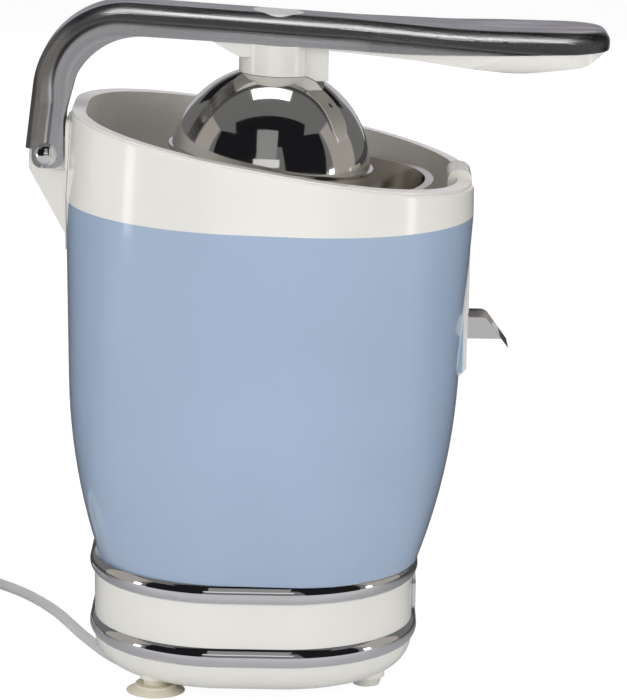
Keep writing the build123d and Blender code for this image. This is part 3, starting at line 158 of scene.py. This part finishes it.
def noise(tree, place, scale, detail=3.0, rough=0.5):
    node = add(tree, "ShaderNodeTexNoise", in_Scale=scale, in_Detail=detail, in_Roughness=rough)
    link(tree, place, node.inputs["Vector"])
    return node.outputs["Fac"]


def vary_colour(tree, shader, factor, colour, spread):
    """Colour that drifts between a darker and a lighter shade of itself."""
    ramp = add(tree, "ShaderNodeValToRGB")
    ramp.color_ramp.elements[0].position = noise_low
    ramp.color_ramp.elements[1].position = noise_high
    ramp.color_ramp.elements[0].color = (*[c * (1 - spread) for c in colour], 1)
    ramp.color_ramp.elements[1].color = (*[min(1, c * (1 + spread)) for c in colour], 1)
    link(tree, factor, ramp.inputs["Fac"])
    link(tree, ramp.outputs["Color"], shader.inputs["Base Color"])


def vary_rough(tree, shader, factor, low, high):
    span = add(tree, "ShaderNodeMapRange", in_From_Min=noise_low, in_From_Max=noise_high,
               in_To_Min=low, in_To_Max=high)
    link(tree, factor, span.inputs["Value"])
    link(tree, span.outputs["Result"], shader.inputs["Roughness"])


def bump(tree, shader, height, strength, distance):
    node = add(tree, "ShaderNodeBump", in_Strength=strength, in_Distance=distance)
    link(tree, height, node.inputs["Height"])
    link(tree, node.outputs["Normal"], shader.inputs["Normal"])
    return node


def moulded(name, colour, rough, coat=0.0, spread=0.03, grain=900.0, grain_depth=0.02 * mm, ior=1.5):
    """Moulded plastic or rubber: a faint drift of colour, uneven gloss and a fine skin."""
    material, tree, shader, place = start_material(name, colour, rough)
    shader.inputs["IOR"].default_value = ior
    shader.inputs["Coat Weight"].default_value = coat
    shader.inputs["Coat Roughness"].default_value = coat_rough
    vary_colour(tree, shader, noise(tree, place, 14), colour, spread)
    vary_rough(tree, shader, noise(tree, place, 60), rough * 0.8, rough * 1.25)
    bump(tree, shader, noise(tree, place, grain), 0.25, grain_depth)
    return material


def polished(name, colour, rough, wave=25.0, wave_depth=0.03 * mm, spread=0.04):
    """Bright metal with faint smears and a slightly uneven surface."""
    material, tree, shader, place = start_material(name, colour, rough, 1.0)
    vary_colour(tree, shader, noise(tree, place, 30), colour, spread)
    vary_rough(tree, shader, noise(tree, place, 90, 6), rough * 0.6, rough * 1.6)
    bump(tree, shader, noise(tree, place, wave, 1), 0.3, wave_depth)
    return material


def glassy(name, colour, rough, weight):
    """See-through moulded plastic."""
    material, tree, shader, place = start_material(name, colour, rough)
    shader.inputs["Transmission Weight"].default_value = weight
    shader.inputs["IOR"].default_value = acrylic_ior
    vary_colour(tree, shader, noise(tree, place, 18), colour, 0.04)
    vary_rough(tree, shader, noise(tree, place, 50), rough * 0.7, rough * 1.3)
    bump(tree, shader, noise(tree, place, 120), 0.15, 0.05 * mm)
    return material


def side_crown(tree, across):
    """Height of the lever's side, which falls away towards its rounded top."""
    beyond = calc(tree, "MAXIMUM", calc(tree, "SUBTRACT", across, lever_middle), 0)
    return calc(tree, "MULTIPLY", calc(tree, "MULTIPLY", beyond, beyond), -lever_crown)


def lever_lines(tree, place):
    """Distance from the bend's middle, and coordinates that run along the arm and turn with its bend."""
    split = add(tree, "ShaderNodeSeparateXYZ")
    link(tree, place, split.inputs["Vector"])
    x, y, z = split.outputs
    bend_x, bend_z = lever_bend
    depth = calc(tree, "MAXIMUM", calc(tree, "SUBTRACT", bend_z, z), 0)
    neck = calc(tree, "MULTIPLY_ADD", depth, lever_lean, x)
    behind = calc(tree, "MAXIMUM", calc(tree, "SUBTRACT", bend_x, neck), 0)
    level = calc(tree, "MULTIPLY_ADD", x, lever_fall, z)
    above = calc(tree, "MAXIMUM", calc(tree, "SUBTRACT", level, bend_z), 0)
    away = add(tree, "ShaderNodeVectorMath", operation="LENGTH")
    link(tree, combine(tree, behind, above), away.inputs[0])
    across = away.outputs["Value"]
    return across, combine(tree, across, y, calc(tree, "SUBTRACT", x, z))


def brushed_lever(name, colour):
    """Brushed aluminium: fine lines along the arm."""
    material, tree, shader, place = start_material(name, colour, 0.3, 1.0)
    across, line = lever_lines(tree, place)
    fine = noise(tree, stretched(tree, line, fine_lines), 1, 4, 0.7)
    coarse = noise(tree, stretched(tree, line, coarse_lines), 1, 3, 0.6)
    vary_colour(tree, shader, fine, colour, 0.12)
    vary_rough(tree, shader, coarse, 0.22, 0.38)
    crown = bump(tree, shader, side_crown(tree, across), 1.0, 1.0)
    lines = bump(tree, shader, fine, 0.35, 0.04 * mm)
    link(tree, crown.outputs["Normal"], lines.inputs["Normal"])
    return material


ivory = moulded("ivory_plastic", (0.86, 0.845, 0.795), 0.16, coat=0.4)
blue = moulded("blue_plastic", (0.375, 0.48, 0.645), 0.18, coat=0.8)
ivory_satin = moulded("ivory_satin", (0.78, 0.765, 0.71), 0.30, coat=0.1)
cream_rubber = moulded("cream_rubber", (0.80, 0.74, 0.61), 0.5, grain=1400, grain_depth=0.04 * mm)
grey_plastic = moulded("grey_plastic", (0.60, 0.60, 0.59), 0.35)
button_grey = moulded("button_grey", (0.66, 0.66, 0.64), 0.3)
inner_plastic = moulded("inner_plastic", (0.45, 0.45, 0.45), 0.45)
seal_rubber = moulded("seal_rubber", (0.05, 0.05, 0.05), 0.6, grain=1400)
cord_sheath = moulded("cord_sheath", (0.66, 0.66, 0.665), 0.4, grain=1600, grain_depth=0.03 * mm)
chrome = polished("chrome", (0.80, 0.80, 0.81), 0.05)
mirror_steel = polished("mirror_steel", (0.74, 0.73, 0.71), 0.06)
pressed_steel = polished("pressed_steel", (0.66, 0.63, 0.58), 0.10, wave=70, wave_depth=0.6 * mm)
steel = polished("steel", (0.55, 0.55, 0.56), 0.22)
bronze = polished("bronze", (0.60, 0.44, 0.24), 0.35)
copper = polished("copper_wire", (0.72, 0.36, 0.18), 0.3, wave=400, wave_depth=0.2 * mm)
smoky = glassy("smoky_plastic", (0.90, 0.87, 0.82), 0.10, 0.06)
aluminium = brushed_lever("brushed_aluminium", (0.60, 0.60, 0.61))

finish = {
    ivory: ["base_housing", "collar", "front_frame", "hinge_bracket", "dome_carrier", "handle_liner"],
    ivory_satin: ["front_feet", "base_plate"],
    blue: ["body_shell"],
    chrome: ["lower_trim_ring", "upper_trim_ring", "badge_plate", "pivot_screws"],
    mirror_steel: ["press_dome", "spout"],
    pressed_steel: ["strainer"],
    aluminium: ["lever_arm"],
    smoky: ["juice_collector"],
    grey_plastic: ["reamer_cone"],
    button_grey: ["release_button"],
    cream_rubber: ["rear_suction_feet"],
    cord_sheath: ["plug", "cord_gland", "coil_tie"],
    inner_plastic: ["chassis_plate", "gear_plate", "gear_cover", "motor_deck", "cooling_fan", "microswitch",
                    "switch_plunger", "output_gear", "intermediate_gear"],
    steel: ["base_screws", "bracket_screws", "liner_screws", "pivot_pin", "dome_screw", "release_spring",
            "spout_pin", "drive_spindle", "intermediate_axle", "motor_pinion", "rotor", "stator_core",
            "lower_bearing_bracket", "upper_bearing_bracket", "chassis_screws", "gear_plate_screws",
            "return_spring"],
    bronze: ["hinge_bushes", "motor_bearings", "spindle_bush", "gear_bush"],
    copper: ["stator_windings"],
    seal_rubber: ["shaft_seal"],
}
for material, names in finish.items():
    for name in names:
        node = nodes[name]
        node.data.materials.clear()
        node.data.materials.append(material)


def coil_turns():
    """Points of the coil: in along the lower layer of turns, up, and out along the upper one."""
    angle = math.radians(coil_heading)
    along = Vector((math.cos(angle), math.sin(angle), 0))
    across = Vector((math.sin(angle), -math.cos(angle), 0))
    entry = Vector(cord_route[-1]) + along * (2 * cord_diameter / mm)
    middle = entry + along * (cord_diameter / mm) - across * coil_r
    inward = [coil_r - coil_pitch / 2 * k for k in range(coil_half_turns + 1)]
    outward = [inward[-1] - coil_pitch / 2] + inward[-2::-1]
    radii = inward + outward
    last = len(radii) - 1
    points = [entry]
    for k in range(last):
        for i in range(coil_steps):
            share = i / coil_steps
            turn = math.pi * (k + share)
            radius = radii[k] + (radii[k + 1] - radii[k]) * share
            climb = min(1, max(0, k + share - coil_half_turns))
            spot = middle + across * (radius * math.cos(turn)) + along * (radius * math.sin(turn))
            points.append(spot + Vector((0, 0, coil_layer * climb)))
    side = 1 if last % 2 == 0 else -1
    end = middle + across * (side * radii[-1]) + Vector((0, 0, coil_layer))
    points += [end, end + along * (side * plug_lead)]
    return points


def in_frame(point):
    """A point of the cord in the part's frame, in metres."""
    return (point[0] + axis_shift) * mm, point[1] * mm, point[2] * mm


def make_cord():
    curve = bpy.data.curves.new("mains_cord", "CURVE")
    curve.dimensions = "3D"
    curve.bevel_depth = cord_diameter / 2
    curve.bevel_resolution = 6
    curve.use_fill_caps = True
    points = [Vector(p) for p in cord_route] + coil_turns()
    spline = curve.splines.new("NURBS")
    spline.points.add(len(points) - 1)
    for point, spot in zip(spline.points, points):
        point.co = (*in_frame(spot), 1)
    spline.order_u = 3
    spline.use_endpoint_u = True
    spline.resolution_u = 6
    cord = bpy.data.objects.new("mains_cord", curve)
    bpy.context.collection.objects.link(cord)
    curve.materials.append(cord_sheath)
    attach(cord, "stand")
    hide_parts("power_cord", "cord_coil")


def soft_spring(name, body):
    """A copy of a spring, carried by the body of its joint, in place of the imported one."""
    piece = bpy.data.objects.new(name + "_coils", nodes[name].data.copy())
    piece.matrix_world = nodes[name].matrix_world
    bpy.context.collection.objects.link(piece)
    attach(piece, body)
    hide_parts(name)
    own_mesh(piece)


make_cord()
soft_spring("return_spring", "stand")
soft_spring("release_spring", "lever")


def stage_plane(name, size, place, turn, material):
    mesh = bpy.data.meshes.new(name)
    half_x, half_y = size[0] / 2, size[1] / 2
    mesh.from_pydata([(-half_x, -half_y, 0), (half_x, -half_y, 0), (half_x, half_y, 0), (-half_x, half_y, 0)],
                     [], [(0, 1, 2, 3)])
    plane = bpy.data.objects.new(name, mesh)
    plane.matrix_world = Matrix.Translation(place) @ turn.to_4x4()
    bpy.context.collection.objects.link(plane)
    mesh.materials.append(material)
    return plane


def floor_material():
    """White to the eye, grey to bright surfaces, and partly matt so that it keeps a soft shadow."""
    material = bpy.data.materials.new("studio_floor")
    material.use_nodes = True
    tree = material.node_tree
    tree.nodes.clear()
    out = add(tree, "ShaderNodeOutputMaterial")
    matt = add(tree, "ShaderNodeBsdfDiffuse", in_Color=(0.9, 0.9, 0.9, 1))
    glow = add(tree, "ShaderNodeEmission", in_Color=(1, 1, 1, 1), in_Strength=floor_glow)
    dim = add(tree, "ShaderNodeEmission", in_Color=(0.97, 0.97, 1, 1))
    split = add(tree, "ShaderNodeSeparateXYZ")
    link(tree, tree.nodes.new("ShaderNodeNewGeometry").outputs["Position"], split.inputs["Vector"])
    fade = add(tree, "ShaderNodeMapRange", in_From_Min=-mirror_reach, in_From_Max=mirror_reach,
               in_To_Min=mirror_near, in_To_Max=mirror_far)
    link(tree, split.outputs["Y"], fade.inputs["Value"])
    link(tree, fade.outputs["Result"], dim.inputs["Strength"])
    path = add(tree, "ShaderNodeLightPath")
    seen = add(tree, "ShaderNodeMixShader")
    link(tree, calc(tree, "MULTIPLY", eye_rays(tree, path), floor_glow_share), seen.inputs["Fac"])
    link(tree, matt.outputs["BSDF"], seen.inputs[1])
    link(tree, glow.outputs["Emission"], seen.inputs[2])
    mirrored = add(tree, "ShaderNodeMixShader")
    link(tree, path.outputs["Is Glossy Ray"], mirrored.inputs["Fac"])
    link(tree, seen.outputs["Shader"], mirrored.inputs[1])
    link(tree, dim.outputs["Emission"], mirrored.inputs[2])
    link(tree, mirrored.outputs["Shader"], out.inputs["Surface"])
    return material


def card_material(name, colour, strength):
    """A studio card: a flat glow, dark or light, that bright surfaces mirror."""
    material = bpy.data.materials.new(name)
    material.use_nodes = True
    tree = material.node_tree
    tree.nodes.clear()
    out = add(tree, "ShaderNodeOutputMaterial")
    glow = add(tree, "ShaderNodeEmission", in_Color=(*colour, 1), in_Strength=strength)
    link(tree, glow.outputs["Emission"], out.inputs["Surface"])
    return material


def card(name, size, azimuth, elevation, distance, material):
    """A card round the object that only bright surfaces see. Azimuth 0 is on the camera's side."""
    a = math.radians(azimuth)
    e = math.radians(elevation)
    way = Vector((math.sin(a) * math.cos(e), -math.cos(a) * math.cos(e), math.sin(e)))
    turn = way.to_track_quat("Z", "Y").to_matrix()
    plane = stage_plane(name, size, card_centre + way * distance, turn, material)
    plane.visible_camera = False
    plane.visible_diffuse = False
    plane.visible_shadow = False
    plane.visible_transmission = False


def make_stage():
    floor_place = Vector((0, floor_back, 0))
    stage_plane("floor", (floor_size, floor_size), floor_place, Matrix.Identity(3), floor_material())
    black = card_material("card_black", (0.012, 0.012, 0.014), 1.0)
    dusk = card_material("card_dusk", (0.53, 0.51, 0.56), 1.0)
    beige = card_material("card_beige", (0.42, 0.39, 0.355), 1.0)
    white = card_material("card_white", (1, 1, 1), 3.0)
    blob = card_material("card_blob", (1, 1, 1), 0.8)
    soft = card_material("card_soft", (1, 1, 1), 0.3)
    for side in (-1, 1):
        card(f"flag_{side + 1}", (1.40, 1.5), side * 43, 14, 1.5, black)
        card(f"strip_{side + 1}", (0.10, 0.20), side * 74, -3, 0.85, white)
        card(f"panel_{side + 1}", (1.0, 1.5), side * 96, 12, 1.45, beige)
    card("flag_front", (2.2, 1.0), 0, 50, 1.55, black)
    card("flag_rear", (2.4, 1.2), 180, 47, 1.6, black)
    card("glow_rear", (1.6, 0.6), 180, 9, 1.7, dusk)
    card("glow_above", (0.8, 0.42), 180, 81, 1.5, white)
    card("lamp_front", (0.72, 0.22), -4, 14, 1.4, blob)
    card("streak_front", (0.50, 0.75), -4, 35, 1.3, soft)


def area_light(name, size, place, aim, energy):
    data = bpy.data.lights.new(name, "AREA")
    data.shape = "RECTANGLE"
    data.size, data.size_y = size
    data.energy = energy
    lamp = bpy.data.objects.new(name, data)
    lamp.location = place
    lamp.rotation_euler = (Vector(aim) - Vector(place)).to_track_quat("-Z", "Y").to_euler()
    lamp.visible_glossy = False
    bpy.context.collection.objects.link(lamp)


def make_lights():
    area_light("softbox_left", (0.8, 1.4), (-1.55, -1.1, 0.75), light_aim, 14)
    area_light("softbox_right", (0.8, 1.4), (1.55, -1.1, 0.75), light_aim, 13)
    area_light("softbox_low", (1.6, 0.4), (0, -1.9, 0.25), low_aim, 6)
    area_light("softbox_top", (1.6, 1.2), (0, -0.2, 2.0), light_aim, 12)
    area_light("softbox_rear", (1.6, 1.2), (0, 1.9, 1.0), light_aim, 18)


def make_world():
    """White to the eye, and a weak even light for everything else."""
    world = bpy.data.worlds.new("studio")
    bpy.context.scene.world = world
    world.use_nodes = True
    tree = world.node_tree
    background = tree.nodes["Background"]
    background.inputs["Color"].default_value = (1, 1, 1, 1)
    strength = add(tree, "ShaderNodeMapRange", in_To_Min=world_level, in_To_Max=1.0)
    link(tree, eye_rays(tree, add(tree, "ShaderNodeLightPath")), strength.inputs["Value"])
    link(tree, strength.outputs["Result"], background.inputs["Strength"])


def make_camera():
    data = bpy.data.cameras.new("camera")
    data.sensor_width = sensor
    data.lens = camera_focal_px / photo_height_px * sensor
    data.clip_end = view_reach
    camera = bpy.data.objects.new("camera", data)
    tilt = Matrix.Rotation(math.radians(90 - camera_pitch), 4, "X")
    roll = Matrix.Rotation(math.radians(camera_roll), 4, "Z")
    camera.matrix_world = Matrix.Translation(camera_place) @ tilt @ roll
    bpy.context.collection.objects.link(camera)
    bpy.context.scene.camera = camera


make_stage()
make_lights()
make_world()
make_camera()
bpy.context.scene.view_settings.view_transform = "Standard"
